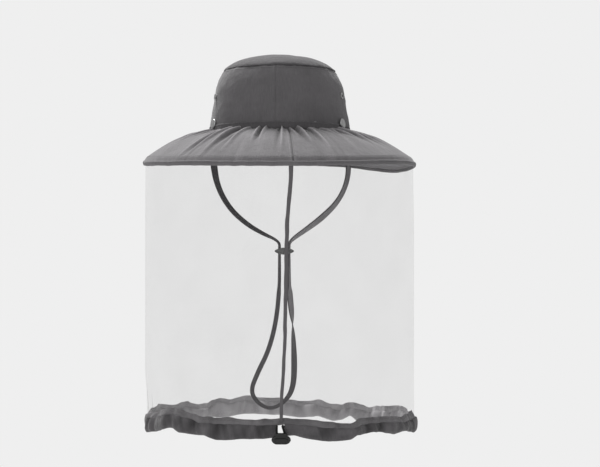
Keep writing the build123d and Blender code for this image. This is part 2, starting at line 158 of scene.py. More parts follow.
def outward(angle):
    return np.stack([np.sin(angle), -np.cos(angle), np.zeros_like(angle)], -1)


def droop(angle, radius):
    """The brim tips forwards, and its wired rim waves a little on the right."""
    fall = 12.0 * np.cos(angle)
    for middle, width, depth in ((55, 22, -1.5), (118, 28, 9.0)):
        away = (np.degrees(angle) - middle + 180) % 360 - 180
        fall = fall + depth * bump_at(away, width)
    share = np.clip((radius - BRIM_ROOT) / BRIM_REACH, 0, None)
    return fall * share**1.3


def brim_height(radius):
    """The brim's arc: level at its root and steep at its rim."""
    r = (np.asarray(radius, float) - BRIM_ROOT) / BRIM_REACH
    return -0.4 - 4.2 * r - 28.3 * r**2 - 3.4 * smooth((radius - 170.0) / 5.0)


def crown_line(share):
    """Radius and height up the crown's side, share running from its foot to the top seam."""
    share = np.asarray(share, float)
    straight = 50.5 / 83.2
    s = np.clip(share / straight, 0, 1)
    t = np.clip((share - straight) / (1 - straight), 0, 1)
    arc_r, arc_z = (
        (1 - t) ** 2 * start + 2 * t * (1 - t) * bend + t**2 * end
        for start, bend, end in ((83.4, 81.2, DOME_EDGE), (50.0, 65.5, 80.4))
    )
    curved = share > straight
    return np.where(curved, arc_r, 90.4 - 7.0 * s), np.where(curved, arc_z, 50.0 * s)


SIDE_SEAMS = (math.radians(90), math.radians(-90))
FRONT_SEAM = math.asin(-5.5 / 91)


def apart(angle, other, radius=90):
    """How far apart two azimuths are, in millimetres along a circle."""
    return ((angle - other + math.pi) % TURN - math.pi) * radius


def crown_relief(angle, share):
    """How far the crown's cloth stands off its smooth line: slack, folds, tucks and seams."""
    u, height = angle / TURN, share * CROWN_SIDE
    relief = 0.8 * noise(u, share, 9, 2, 11) + 0.45 * noise(u, share, 22, 4, 12)
    relief += 0.16 * noise(u, share, 70, 14, 13)
    for seam, seed in zip((*SIDE_SEAMS, FRONT_SEAM), (21, 22, 23)):
        away = apart(angle, seam)
        strength = 1.0 if seed < 23 else 0.25
        relief -= strength * 0.95 * bump_at(away, 1.5)
        relief += strength * 0.5 * bump_at(abs(away) - 3.2, 2.2)
        pull = np.exp(-np.abs(away) / 7) * (1 - bump_at(away, 1.2))
        relief += strength * 0.5 * pull * noise(0, share, 2, 15, seed + 10)
        relief += strength * 0.55 * np.exp(-np.abs(away) / 16) * noise(u, share, 46, 2, seed + 20)
    near_top = np.exp(-(CROWN_SIDE - height) / 5.5)
    relief += near_top * (0.55 * noise(u, 0, 104, 1, 14) + 0.3 * noise(u, 0, 53, 1, 15))
    near_foot = np.exp(-np.clip(height - 8, 0, None) / 7.0)
    relief += near_foot * (0.45 * noise(u, 0, 96, 1, 16) + 0.5 * noise(u, 0, 31, 1, 17))
    relief -= 0.8 * bump_at(CROWN_SIDE - height, 1.4)
    return relief


# ==== meshes


def add_object(name, data):
    made = bpy.data.objects.new(name, data)
    bpy.context.collection.objects.link(made)
    return made


def add_mesh(name, points, faces, material, uv=None):
    mesh = bpy.data.meshes.new(name)
    mesh.from_pydata((np.asarray(points, float) * MM).tolist(), [], faces)
    mesh.polygons.foreach_set("use_smooth", [True] * len(mesh.polygons))
    if uv is not None:
        layer = mesh.uv_layers.new(name="cloth")
        flat = np.zeros((len(mesh.loops), 2))
        flat[: len(uv)] = uv
        layer.data.foreach_set("uv", (flat * MM).ravel())
    mesh.materials.append(material)
    mesh.update()
    return add_object(name, mesh)


def grid(name, points, along, across, material, joins=(False, False), flip=False, capped=False, crest=None):
    """A sheet from points of shape (n, m, 3). along and across are the cloth's own measures.

    crest says how far each point stands up on a fold, from -1 to 1; light is painted on the fold tops and
    shade in the hollows.
    """
    n, m, _ = points.shape
    rows, columns = (n if joins[0] else n - 1), (m if joins[1] else m - 1)
    i, j = np.meshgrid(np.arange(rows), np.arange(columns), indexing="ij")
    k, q = (i + 1) % n, (j + 1) % m
    faces = np.stack([i * m + j, k * m + j, k * m + q, i * m + q], -1).reshape(-1, 4)
    along = np.append(along, 2 * along[-1] - along[-2])
    across = np.append(across, 2 * across[-1] - across[-2])
    corners = [(i, j), (i + 1, j), (i + 1, j + 1), (i, j + 1)]
    uv = np.stack([np.stack([along[a], across[b]], -1) for a, b in corners], 2).reshape(-1, 4, 2)
    if flip:
        faces, uv = faces[:, ::-1], uv[:, ::-1]
    faces = faces.tolist()
    if capped:
        first, last = list(range(m)), list(range((n - 1) * m, n * m))
        faces += [first, last[::-1]] if flip else [first[::-1], last]
    piece = add_mesh(name, points.reshape(-1, 3), faces, material, uv.reshape(-1, 2))
    if crest is not None:
        painted_fold_light = piece.data.attributes.new("crest", "FLOAT", "POINT")
        painted_fold_light.data.foreach_set("value", np.clip(np.broadcast_to(crest, (n, m)), -1, 1).ravel())
    return piece


def line_inside(piece, material, inside):
    """Gives the faces that pass a test a second material."""
    piece.data.materials.append(material)
    chosen = [int(inside(face)) for face in piece.data.polygons]
    piece.data.polygons.foreach_set("material_index", chosen)


def thicken(piece, thickness, offset=-1.0):
    shell = piece.modifiers.new("thickness", "SOLIDIFY")
    shell.thickness = thickness * MM
    shell.offset = offset
    shell.use_even_offset = False
    return piece


def measure(line):
    """Distance along a line of points."""
    steps = np.linalg.norm(np.diff(line, axis=0), axis=1)
    return np.concatenate([[0], np.cumsum(steps)])


def resample(line, count):
    at = measure(line)
    want = np.linspace(0, at[-1], count)
    return np.stack([np.interp(want, at, line[:, k]) for k in range(3)], -1)


def unit(vectors):
    return vectors / np.maximum(np.linalg.norm(vectors, axis=-1, keepdims=True), 1e-9)


def tangents(line, closed=False):
    if closed:
        return unit(np.roll(line, -1, 0) - np.roll(line, 1, 0))
    return unit(np.gradient(line, axis=0))


def sweep(name, line, side, sections, material, closed=False):
    """Carries sections, of shape (n, k, 2), along a line. Their x lies along side."""
    ahead = tangents(line, closed)
    side = unit(side - ahead * (side * ahead).sum(-1, keepdims=True))
    up = np.cross(ahead, side)
    points = line[:, None] + sections[..., :1] * side[:, None] + sections[..., 1:] * up[:, None]
    girth = measure(np.concatenate([sections[0], sections[0][:1]]) @ np.eye(2, 3))[:-1]
    joins = (closed, True)
    return grid(name, points, measure(line), girth, material, joins, flip=True, capped=not closed)


def round_sections(count, radius, sides=12):
    turn = full_turn(sides)
    ring = np.stack([np.cos(turn), np.sin(turn)], -1)
    return ring[None] * np.broadcast_to(np.asarray(radius, float).reshape(-1, 1, 1), (count, 1, 1))


def stitches(name, lines, slot, length=2.4, pitch=3.3, radius=0.24, body="hat"):
    """Rows of short thread stitches. lines holds pairs of points and outward directions."""
    rings, sides = 5, 6
    lat = np.linspace(-math.pi / 2, math.pi / 2, rings)[:, None]
    lon = full_turn(sides)
    ball = [np.sin(lat) * np.ones(sides), np.cos(lat) * np.cos(lon), np.cos(lat) * np.sin(lon)]
    x, y, z = (each.reshape(-1, 1) for each in ball)
    rise = 0.8 * z - 0.5 * x**2
    quads = [
        [r * sides + s, r * sides + (s + 1) % sides, (r + 1) * sides + (s + 1) % sides, (r + 1) * sides + s]
        for r in range(rings - 1)
        for s in range(sides)
    ]
    points, faces = [], []
    for line, out in lines:
        at = measure(line)
        where = np.arange(pitch / 2, at[-1], pitch)

        def pick(values):
            return np.stack([np.interp(where, at, values[:, k]) for k in range(3)], -1)

        centre, forward, up = pick(line), unit(pick(tangents(line))), unit(pick(out))
        aside = unit(np.cross(up, forward))
        for c, f, a, p in zip(centre, forward, aside, up):
            base = len(points) * len(x)
            points.append(c + x * f * length / 2 + y * a * radius + rise * p * radius)
            faces += [[base + v for v in quad] for quad in quads]
    return dress(add_mesh(name, np.concatenate(points), faces, thread), body, slot)


def dress(piece, body, slot, *nodes):
    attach(piece, body)
    if nodes:
        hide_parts(*nodes)
    return piece


# ==== materials


def linear(value):
    value = value / 255
    return value / 12.92 if value <= 0.04045 else ((value + 0.055) / 1.055) ** 2.4


def tone(red, green=None, blue=None):
    green = red if green is None else green
    blue = red if blue is None else blue
    return (linear(red), linear(green), linear(blue), 1)


def shade(value):
    """A grey with the cloth's faint warm tint."""
    return tone(value + 1, value - 1, value + 1)


class Nodes:
    """Adds nodes to a tree in short calls."""

    def __init__(self, tree):
        self.tree = tree

    def node(self, kind, **settings):
        node = self.tree.nodes.new(kind)
        for key, value in settings.items():
            setattr(node, key, value)
        return node

    def plug(self, value, socket):
        if hasattr(value, "links"):
            self.tree.links.new(value, socket)
        else:
            socket.default_value = value

    def place(self, source, scale):
        """Texture space: the cloth's own measure, or the object's, in units of 1 / scale metres."""
        space = self.node("ShaderNodeTexCoord").outputs[source]
        mapping = self.node("ShaderNodeMapping")
        self.plug(space, mapping.inputs["Vector"])
        self.plug(scale if hasattr(scale, "__len__") else (scale,) * 3, mapping.inputs["Scale"])
        return mapping.outputs[0]

    def cloud(self, space, scale, detail=3.0, rough=0.55):
        texture = self.node("ShaderNodeTexNoise")
        self.plug(space, texture.inputs["Vector"])
        self.plug(scale, texture.inputs["Scale"])
        self.plug(detail, texture.inputs["Detail"])
        self.plug(rough, texture.inputs["Roughness"])
        return texture.outputs["Fac"]

    def bands(self, space, direction, distortion=0.0):
        texture = self.node("ShaderNodeTexWave", wave_type="BANDS", bands_direction=direction)
        self.plug(space, texture.inputs["Vector"])
        self.plug(1.0, texture.inputs["Scale"])
        self.plug(distortion, texture.inputs["Distortion"])
        return texture.outputs["Fac"]

    def sum(self, operation, a, b, clamp=False):
        node = self.node("ShaderNodeMath", operation=operation, use_clamp=clamp)
        self.plug(a, node.inputs[0])
        self.plug(b, node.inputs[1])
        return node.outputs[0]

    def spread(self, value, low, high, to_low=0.0, to_high=1.0):
        node = self.node("ShaderNodeMapRange")
        for socket, each in zip(range(5), (value, low, high, to_low, to_high)):
            self.plug(each, node.inputs[socket])
        return node.outputs[0]

    def mix(self, share, a, b):
        node = self.node("ShaderNodeMix", data_type="RGBA")
        self.plug(share, node.inputs[0])
        self.plug(a, node.inputs[6])
        self.plug(b, node.inputs[7])
        return node.outputs[2]

    def relief(self, height, strength, distance, under=None):
        node = self.node("ShaderNodeBump")
        self.plug(strength, node.inputs["Strength"])
        self.plug(distance, node.inputs["Distance"])
        self.plug(height, node.inputs["Height"])
        if under is not None:
            self.plug(under, node.inputs["Normal"])
        return node.outputs[0]


class Shader(Nodes):
    """A material's nodes."""

    def __init__(self, name):
        self.material = bpy.data.materials.new(name)
        self.material.use_nodes = True
        super().__init__(self.material.node_tree)

    def finished(self, sockets):
        """Plugs the surface's named sockets and returns the material."""
        face = self.tree.nodes["Principled BSDF"]
        for name, value in sockets.items():
            self.plug(value, face.inputs[name])
        return self.material


def woven(
    name, dark, light, pitch=0.9, rough=0.88, sheen=0.25, wrinkle=0.4, source="UV", edge=None, painted_fold_light=0.0
):
    """A plain weave: two sets of threads crossing, flecks of yarn, and a little rumpling."""
    s = Shader(name)
    threads = s.place(source, 0.5 / (pitch * MM))
    weave = s.sum("MULTIPLY", s.bands(threads, "X", 0.6), s.bands(threads, "Y", 0.6))
    space = s.place("Object", 1.0)
    fleck = s.cloud(s.place(source, (700, 90, 700)), 1.0, 2.0)
    patch = s.cloud(space, 38.0, 4.0)
    depth = s.sum("ADD", s.sum("MULTIPLY", fleck, 0.4), s.sum("MULTIPLY", patch, 0.35))
    depth = s.sum("ADD", depth, s.sum("MULTIPLY", weave, 0.35))
    colour = s.mix(s.spread(depth, 0.25, 0.8), dark, light)
    if edge is not None:
        colour = edge(s, colour)
    # Painted light on the tops of folds and painted shade in their hollows, scaled by the crest attribute.
    if painted_fold_light:
        fold = s.node("ShaderNodeAttribute", attribute_name="crest").outputs["Fac"]
        fold_light_and_shade = s.node("ShaderNodeVectorMath", operation="SCALE")
        s.plug(colour, fold_light_and_shade.inputs[0])
        s.plug(s.spread(fold, -1.0, 1.0, 1 - painted_fold_light, 1 + painted_fold_light), fold_light_and_shade.inputs["Scale"])
        colour = fold_light_and_shade.outputs[0]
    rumple = s.relief(s.cloud(space, 170.0, 3.0), wrinkle, 0.0012)
    return s.finished({
        "Base Color": colour,
        "Roughness": s.spread(patch, 0.3, 0.7, rough - 0.05, min(rough + 0.05, 1)),
        "Sheen Weight": sheen,
        "Sheen Roughness": 0.45,
        "Specular IOR Level": 0.22,
        "Normal": s.relief(weave, 0.35, 0.00025, rumple),
    })


def moulded(name, dark, light, rough=0.42):
    """Moulded plastic: fine spark-eroded grain, faint flow marks and rubbed highlights."""
    s = Shader(name)
    space = s.place("Object", 1.0)
    grain, flow = s.cloud(space, 2600.0, 2.0), s.cloud(space, 120.0, 4.0)
    return s.finished({
        "Base Color": s.mix(s.spread(flow, 0.3, 0.7), dark, light),
        "Roughness": s.spread(flow, 0.3, 0.7, rough - 0.08, rough + 0.1),
        "Specular IOR Level": 0.5,
        "Normal": s.relief(grain, 0.25, 0.0001),
    })


def metal(name, dark, light, rough=0.3):
    """Plated metal, a little dulled in patches."""
    s = Shader(name)
    space = s.place("Object", 1.0)
    dull, fine = s.cloud(space, 300.0, 4.0), s.cloud(space, 3000.0, 2.0)
    return s.finished({
        "Base Color": s.mix(s.spread(dull, 0.35, 0.65), dark, light),
        "Metallic": 1.0,
        "Roughness": s.spread(dull, 0.3, 0.7, rough - 0.1, rough + 0.12),
        "Normal": s.relief(fine, 0.12, 0.00008),
    })


def netting(name, colour, thin, thick):
    """Fine clear tulle: mostly holes, with threads crossing on two diagonals."""
    s = Shader(name)
    turned = s.node("ShaderNodeVectorRotate", rotation_type="Z_AXIS")
    s.plug(s.place("UV", (1900, 1100, 1)), turned.inputs["Vector"])
    s.plug(math.radians(45), turned.inputs["Angle"])
    one, two = (s.spread(s.bands(turned.outputs[0], way), 0.55, 1.0) for way in "XY")
    cover = s.spread(s.sum("MAXIMUM", one, two), 0.0, 1.0, thin, thick)
    slack = s.spread(s.cloud(s.place("UV", 1.0), 14.0, 2.0), 0.3, 0.7, 0.85, 1.15)
    return s.finished({
        "Base Color": colour,
        "Roughness": 0.7,
        "Specular IOR Level": 0.2,
        "Alpha": s.sum("MULTIPLY", cover, slack),
    })


def painted_edge_shade(half, dark):
    """Darkens a ribbon towards both of its edges, by the cloth's own measure across: painted shade where the
    edges roll away from the light.
    """

    def paint(s, colour):
        across = s.node("ShaderNodeSeparateXYZ")
        s.plug(s.place("UV", 1000.0), across.inputs[0])
        from_middle = s.sum("ABSOLUTE", s.sum("SUBTRACT", across.outputs[1], half), 0.0)
        edge = s.spread(from_middle, half * 0.55, half * 0.95)
        return s.mix(edge, colour, dark)

    return paint


# The last argument of a cloth with folds sets how much light is painted on its fold tops and shade in their
# hollows.
crown_cloth = woven("crown_cloth", shade(90), shade(114), 0.9, wrinkle=0.5, painted_fold_light=0.2)
# The top panel's cloth is the crown's cloth painted darker: painted shade on the top, against the light that
# falls on it from above.
top_cloth_painted_shade = woven("crown_top_cloth_painted_shade", shade(70), shade(92), 0.9, wrinkle=0.5, painted_fold_light=0.2)
brim_cloth = woven("brim_cloth", shade(102), shade(130), 0.8, wrinkle=0.5, painted_fold_light=0.85)
lining_cloth = woven("lining_cloth", shade(116), shade(140), 0.8, painted_fold_light=0.3)
binding_cloth = woven("binding_cloth", shade(100), shade(122), 0.7)
piping_cloth = woven("piping_cloth", shade(62), shade(82), 0.7)
band_cloth = woven("band_cloth", shade(78), shade(100), 0.8)
sweat_cloth = woven("sweatband_cloth", shade(120), shade(142), 1.1, rough=0.93)
hem_cloth = woven("hem_cloth", shade(74), shade(98), 0.8, wrinkle=0.6, painted_fold_light=0.6)
hem_inner_cloth = woven("hem_inner_cloth", shade(146), shade(178), 0.8, wrinkle=0.6, painted_fold_light=0.4)
# The heading's cloth is the hem's cloth painted paler: painted light on the strip that faces up to the
# lamps.
heading_cloth_painted_light = woven("hem_heading_cloth_painted_light", shade(100), shade(128), 0.8, wrinkle=0.6, painted_fold_light=0.3)
seam_cloth = woven("seam_tape_cloth", shade(92), shade(112), 0.6)
chin_cloth = woven("chin_tape_cloth", shade(128), shade(150), 0.6, edge=painted_edge_shade(4.6, shade(92)))
tab_cloth = woven("tab_cloth", shade(84), shade(104), 0.7)
cord_cloth = woven("cord_cloth", tone(16), tone(34), 0.7, rough=0.8, sheen=0.15)
thread = woven("thread", shade(70), shade(92), 0.4, source="Object")
plastic_black = moulded("plastic_black", tone(14), tone(24), 0.38)
plastic_grey = moulded("plastic_grey", tone(78), tone(104), 0.42)
metal_grey = metal("metal_grey", tone(168), tone(200), 0.4)
spring_steel = metal("spring_steel", tone(120), tone(160), 0.35)
net_clear = netting("net_mesh", tone(118), 0.02, 0.14)

for look, nodes in (
    (metal_grey, ("vent_eyelets", "vent_eyelet_washers", "press_stud_caps", "press_stud_backs")),
    (spring_steel, ("brim_wire", "brim_wire_sleeve")),
    (plastic_black, ("lock_body", "lock_button", "drawcord_end_beads")),
    (plastic_grey, ("chin_slider",)),
):
    for node in nodes:
        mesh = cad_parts[node].data
        mesh.materials.clear()
        mesh.materials.append(look)


# ==== the chin tape

CHIN_ROUTE = [
    (-TAB_X, -12, -9), (-85.0, -14, -38), (-79.5, -19, -68), (-64, -29, -96), (-42, -41, -117),
    (-21, -50, -130), (0, -58, -139.5), (0, -58, -149), (0, -58, -165), (0, -58, -196), (-4, -59, -240),
    (-13, -61, -276), (-27, -62, -303), (-37, -62, -327), (-26, -62, -343), (-10, -62, -349.5),
    (7, -61, -340), (17.5, -60, -323), (19, -59, -290), (16, -58.5, -242), (12, -58, -196),
    (12, -58, -165), (12, -58, -149), (12, -58, -139.5), (31, -49, -126), (53, -40, -110), (74, -29, -89),
    (86, -20, -64), (89, -14, -38), (TAB_X, -12, -9),
]
# How far the tape is turned from facing the front at places on its route, in degrees.
CHIN_TWIST = [
    (0, 72), (1, 12), (2, 42), (3, 46), (4, 50), (5, 60), (6.5, 80), (9, 58), (10, 55), (12, 52),
    (13, 58), (14, 66), (15, 70), (16, 64), (17, 46), (18, 36), (18.75, 62), (19, 92), (19.3, 140),
    (20, 142), (20.6, 122), (22, 100), (23.2, 118), (24, 128), (25, 148), (26, 132), (27, 132),
    (28, 140), (29, 98),
]


def spline_points(name, points):
    """The smooth line of a spline whose control points are given, in millimetres."""
    curve = bpy.data.curves.new(name, "CURVE")
    curve.dimensions = "3D"
    curve.resolution_u = 20
    spline = curve.splines.new("NURBS")
    spline.points.add(len(points) - 1)
    for point, place in zip(spline.points, points):
        point.co = (*(c * MM for c in place), 1)
    spline.order_u = 3
    spline.use_endpoint_u = True
    holder = add_object(name, curve)
    mesh = bpy.data.meshes.new_from_object(holder)
    line = np.array([v.co for v in mesh.vertices]) / MM
    bpy.data.objects.remove(holder)
    bpy.data.meshes.remove(mesh)
    return line


def flat_sections(width, thickness, curl):
    """A ribbon's rounded section at each station, its edges curling a little one way."""
    n = len(width)
    x = np.array([-1, -0.96, -0.6, -0.2, 0.2, 0.6, 0.96, 1, 0.96, 0.6, 0.2, -0.2, -0.6, -0.96])
    y = np.array([0, 1, 0.85, 0.8, 0.8, 0.85, 1, 0, -1, -0.85, -0.8, -0.8, -0.85, -1]) / 2
    section = np.zeros((n, len(x), 2))
    section[..., 0] = x[None] * width[:, None] / 2
    section[..., 1] = y[None] * thickness[:, None] + curl[:, None] * x[None] ** 2
    return section


chin_line = resample(spline_points("chin_route", CHIN_ROUTE), 900)
chin_at = measure(chin_line)
# How far along the tape each control point is passed, looked for only a little way ahead.
control_at = []
start = 0
for corner in CHIN_ROUTE:
    away = np.linalg.norm(chin_line[start:] - np.array(corner), axis=1)
    start = start + int(away[:140].argmin())
    control_at.append(chin_at[start])
twist_at = np.interp([k for k, _ in CHIN_TWIST], range(len(CHIN_ROUTE)), control_at)
twist = evened(np.radians(np.interp(chin_at, twist_at, [t for _, t in CHIN_TWIST])), 25)
ahead = tangents(chin_line)
facing = unit(np.array([0.0, -1.0, 0.0]) + ahead * ahead[:, 1:2])
chin_side = np.cross(ahead, facing) * np.cos(twist)[:, None] + facing * np.sin(twist)[:, None]
# The tape is folded narrow and thick where the slider is, and wherever it can slide to.
slider_z = -151.5
travel = 36.0
past = np.maximum(chin_line[:, 2] - slider_z - 6, slider_z - travel - 6 - chin_line[:, 2])
in_slider = smooth(1 - np.clip(past, 0, None) / 12) * (np.abs(chin_line[:, 0] - 6) < 14)
chin_curl = 0.35 * np.sin(chin_at / 37) + 0.2 * np.sin(chin_at / 17 + 2)
chin_sections = flat_sections(9.0 - 4.9 * in_slider, 1.0 + 1.7 * in_slider, chin_curl * (1 - in_slider))
chin_tape = sweep("chin_tape_woven", chin_line, chin_side, chin_sections, chin_cloth)
dress(chin_tape, "hat", "chin_tape_fabric", "chin_tape")


# ==== crown

SIDES = np.linspace(0, 1, 75)


def crown_points(angles, shares):
    angle, share = np.meshgrid(angles, shares, indexing="ij")
    radius, height = crown_line(share)
    slope = np.arctan2(np.gradient(radius, axis=1), np.gradient(height, axis=1))
    relief = crown_relief(angle, share)
    return place_at(angle, radius + relief * np.cos(slope), height - relief * np.sin(slope)), relief


def crown_panel(name, node, low, high):
    angles = np.linspace(low, high, int((high - low) * 90 / 0.9))
    points, relief = crown_points(angles, SIDES)
    # Painted light on the tops of the crown's folds and painted shade in their hollows.
    piece = grid(name, points, angles * 90, SIDES * CROWN_SIDE, crown_cloth, crest=relief / 1.6)
    thicken(piece, 0.9)
    dress(piece, "hat", "crown_fabric", node)


crown_panel("crown_front_minus_x", "crown_front_left_panel", -math.pi / 2, FRONT_SEAM)
crown_panel("crown_front_plus_x", "crown_front_right_panel", FRONT_SEAM, math.pi / 2)
crown_panel("crown_back", "crown_back_panel", math.pi / 2, 1.5 * math.pi)


def dome_points(angles, shares):
    """The round top panel: shares run from its edge to its middle."""
    angle, share = np.meshgrid(angles, shares, indexing="ij")
    radius = eased(share, [DOME_EDGE, 69.4, 65.2, 60.0, 52.5, 42, 28, 14, 0])
    height = eased(share, [80.8, 83.4, 86.6, 89.7, 93.0, 96.0, 98.2, 99.2, 99.5])
    u = angle / TURN
    edge = np.exp(-(DOME_EDGE - radius) / 5.0)
    height = height + edge * (0.5 * noise(u, 0, 92, 1, 31) + 0.35 * noise(u, 0, 41, 1, 32))
    height += smooth(radius / 30) * (0.9 * noise(u, share, 8, 3, 33) + 0.35 * noise(u, share, 22, 6, 34))
    height -= bump_at(radius - DOME_EDGE, 1.3)
    return place_at(angle, radius, height)


angles, shares = full_turn(480), np.linspace(0, 1, 70)
dome = grid("crown_top", dome_points(angles, shares), angles * 74, shares * 78, top_cloth_painted_shade, ROUND)
thicken(dome, 0.9)
dress(dome, "hat", "crown_top_fabric", "crown_top_panel")

angles = full_turn(1000)
u = angles / TURN
radius = 71.35 + 0.2 * noise(u, 0, 80, 1, 41) + 0.25 * noise(u, 0, 24, 1, 42)
height = 80.7 + 0.25 * noise(u, 0, 14, 1, 43) + 0.2 * noise(u, 0, 90, 1, 44)
line = place_at(angles, radius, height)
sections = round_sections(1000, 0.62 + 0.08 * noise(u, 0, 160, 1, 45))
piping = sweep("crown_piping", line, outward(angles), sections, piping_cloth, closed=True)
dress(piping, "hat", "piping_fabric", "crown_top_piping")

band_angles = full_turn(1300)
u = band_angles / TURN
section = np.array([
    (0.1, -2.6), (0.6, -2.0), (1.05, 1.4), (0.6, 2.4), (0.95, 4.2), (0.6, 6.2), (0.85, 7.3), (0.4, 8.3),
    (-0.5, 8.3), (-0.7, 6.0), (-0.7, 2.0), (-0.4, -2.2),
])
out, up = section.T
band_wobble = 0.35 * noise(u, 0, 96, 1, 16) + 0.5 * noise(u, 0, 31, 1, 17)
band_lift = 0.35 * noise(u, 0, 40, 1, 51) + 0.2 * noise(u, 0, 120, 1, 52)
fine = 0.25 * noise(u[:, None], np.linspace(0, 1, len(section)), 210, 3, 53)
radius = BAND_RADIUS - up * BAND_LEAN + out + band_wobble[:, None] + fine
shape = place_at(band_angles[:, None], radius, up + band_lift[:, None])
band = grid("crown_base_strip", shape, band_angles * 91, np.arange(len(section)) * 1.6, band_cloth, TUBE)
dress(band, "hat", "brim_fabric", "crown_base_band")


def wall_line(angle, share):
    """A line on the crown's side, with the directions out of the cloth."""
    radius, height = crown_line(share)
    return place_at(angle, radius + crown_relief(angle, share) + 0.05, height), outward(angle)


closed_angles = np.linspace(0, TURN, 900)
upwards = np.array([0, 0, 0.8])
dome_row = dome_points(closed_angles, np.array([0.055]))[:, 0]
rows = [wall_line(closed_angles, np.full(900, 0.955)), (dome_row, outward(closed_angles) * 0.6 + upwards)]
stitches("crown_top_stitching", rows, "crown_fabric")
rows = []
for height, out in ((1.9, 0.85), (6.6, 0.8)):
    wobble, lift = (np.interp(closed_angles, band_angles, each) for each in (band_wobble, band_lift))
    radius = BAND_RADIUS - height * BAND_LEAN + out + wobble
    rows.append((place_at(closed_angles, radius, height + lift), outward(closed_angles)))
stitches("base_stitching", rows, "brim_fabric")
shares = np.linspace(0.12, 0.96, 120)
beside = [seam + side / 90 for seam in SIDE_SEAMS for side in (-2.6, 2.6)]
rows = [wall_line(np.full(120, angle), shares) for angle in beside]
stitches("side_seam_stitching", rows, "crown_fabric", radius=0.22)

# ---- sweatband, side seam tapes

angles = full_turn(700)
u = angles / TURN
section = np.array([
    (-2.2, 2.0), (-1.7, 1.6), (-1.4, 3.0), (-1.5, 29.0), (-1.8, 30.2), (-2.4, 29.0), (-2.7, 16.0),
    (-2.6, 3.0),
])
out, up = section.T
radius = BAND_RADIUS - up * BAND_LEAN + out + 0.3 * noise(u[:, None], up / 31, 60, 2, 61) - 0.6
height = up + 0.3 * noise(u, 0, 40, 1, 62)[:, None]
shape = place_at(angles[:, None], radius, height)
across = np.array([0, 1, 3, 29, 30, 31, 44, 57.0])
sweatband = grid("sweatband_strip", shape, angles * 88, across, sweat_cloth, TUBE)
dress(sweatband, "hat", "sweatband_fabric", "sweatband")
row = place_at(closed_angles, BAND_RADIUS - 27.5 * BAND_LEAN - 3.05, 27.5)
stitches("sweatband_stitching", [(row, -outward(closed_angles))], "sweatband_fabric", 2.4, 3.4, 0.22)

strips = []
across = np.linspace(-6.5, 6.5, 14)
shares = np.linspace(0.41, 0.625, 30)
for seam in SIDE_SEAMS:
    angle, share = np.meshgrid(seam + across / 86, shares, indexing="ij")
    radius, height = crown_line(share)
    shape = place_at(angle, radius + crown_relief(angle, share) * 0.6 - 1.6, height)
    strips.append(thicken(grid("seam_strip", shape, across, shares * CROWN_SIDE, seam_cloth), 0.5))


def joined(name, pieces):
    """Applies each piece's modifiers and joins their meshes into one object."""
    bpy.context.view_layer.update()
    graph = bpy.context.evaluated_depsgraph_get()
    points, faces, uvs, base = [], [], [], 0
    for piece in pieces:
        done = piece.evaluated_get(graph).to_mesh()
        uv = np.zeros(len(done.loops) * 2)
        done.uv_layers[0].data.foreach_get("uv", uv)
        uvs.append(uv.reshape(-1, 2) / MM)
        points += [np.array(v.co) / MM for v in done.vertices]
        faces += [[base + v for v in f.vertices] for f in done.polygons]
        base += len(done.vertices)
        piece.evaluated_get(graph).to_mesh_clear()
    material = pieces[0].data.materials[0]
    for piece in pieces:
        bpy.data.objects.remove(piece)
    return add_mesh(name, points, faces, material, np.concatenate(uvs))


dress(joined("side_seam_strips", strips), "hat", "seam_tape", "side_seam_tapes")


# ==== brim

BRIM_ROWS = np.concatenate([np.linspace(*run) for run in ((88.6, 110, 35), (111, 169, 44), (170, 174.4, 8))])


def brim_folds(angle, radius):
    """The gathered cloth's folds, and the light and shade painted on them: short at the root, long as they
    sweep out.
    """
    chance = np.random.default_rng(5)
    t = np.clip(radius - BRIM_ROOT, 0, None)
    u = angle / TURN
    pleats = noise(u, 0, 118, 1, 71)
    folds = np.exp(-t / 8) * (2.4 * pleats + noise(u, 0, 230, 1, 76))
    # Painted light on the pleats near the root and painted shade between them.
    fold_light_and_shade = np.exp(-t / 10) * pleats
    folds += 0.9 * np.exp(-t / 16) * noise(u, 0, 77, 1, 72)
    total = 50
    for k in range(total):
        at = (k + chance.uniform(-0.4, 0.4)) / total * TURN
        reach = chance.uniform(40, 96)
        height = chance.uniform(2.4, 5.0) * (0.5 + 0.5 * reach / 84)
        lean = chance.uniform(-0.06, 0.06) + 0.07 * math.sin(at)
        width = chance.uniform(1.1, 1.8)
        share = t / reach
        swell = smooth(t / 6) * (1 - smooth((share - 0.35) / 0.65))
        away = apart(angle, at + lean * share, radius) / (width + 0.028 * t)
        side = chance.choice([-1, 1])
        valley = np.exp(-((away - 1.8 * side) ** 2) / 1.5)
        folds += height * swell * (np.exp(-(away**2)) - 0.55 * valley)
        # Painted light along each ridge and painted shade in the valley beside it.
        fold_light_and_shade += swell * (1.1 * bump_at(away, 0.6) - 0.4 * valley)
    streaks = smooth(t / 12) * noise(u, t / 200, 210, 1, 77) * noise(u, t / 90, 40, 2, 78)
    fold_light_and_shade += 0.35 * streaks
    folds += 0.5 * streaks
    calm = smooth(t / 40) * (1 - 0.85 * smooth((t - 64) / 16))
    folds += calm * (0.9 * noise(u, t / 90, 26, 2, 73) + 0.45 * noise(u, t / 90, 60, 4, 74))
    folds += 0.25 * np.exp(-(RIM - radius) / 5) * noise(u, 0, 190, 1, 75)
    return folds - 0.1, fold_light_and_shade


def front_seam_x(radius):
    """Where the brim's front seam lies: it leans from the crown towards the net's tape."""
    return 10.5 + (radius - 92) * 0.07


